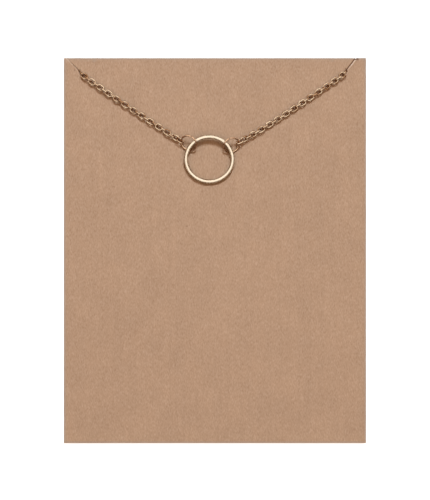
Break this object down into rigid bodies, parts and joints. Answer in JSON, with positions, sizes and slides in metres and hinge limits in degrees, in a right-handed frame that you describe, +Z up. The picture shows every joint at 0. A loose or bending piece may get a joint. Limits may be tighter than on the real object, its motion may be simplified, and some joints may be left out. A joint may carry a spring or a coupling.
{
  "type": "open circle pendant necklace on a display card",
  "caption": "Open circle pendant joined by jump rings to a fine cable chain necklace, held by corner slits on a plain kraft card.",
  "frame": {"origin": "on the surface that the object lies on, under the card's centre", "axes": "+Z up, out of the card's face; +Y along the card's long side towards the slits; +X to the right of the card as it is read"},
  "size_m": [0.07, 0.0892, 0.0048],
  "materials": {
    "kraft_card": "uncoated brown kraft board with a fine fibre mottle",
    "polished_gold": "polished pale gold-tone metal",
    "chain_gold": "bright warm gold-tone wire"
  },
  "bodies": {
    "root": {"card": "kraft_card", "circle_ring": "polished_gold", "jump_ring_left": "chain_gold", "jump_ring_right": "chain_gold", "chain_left": "chain_gold", "chain_right": "chain_gold", "chain_back_left": "chain_gold", "chain_back_right": "chain_gold", "clasp": "chain_gold", "end_ring": "chain_gold"}
  },
  "joints": []
}
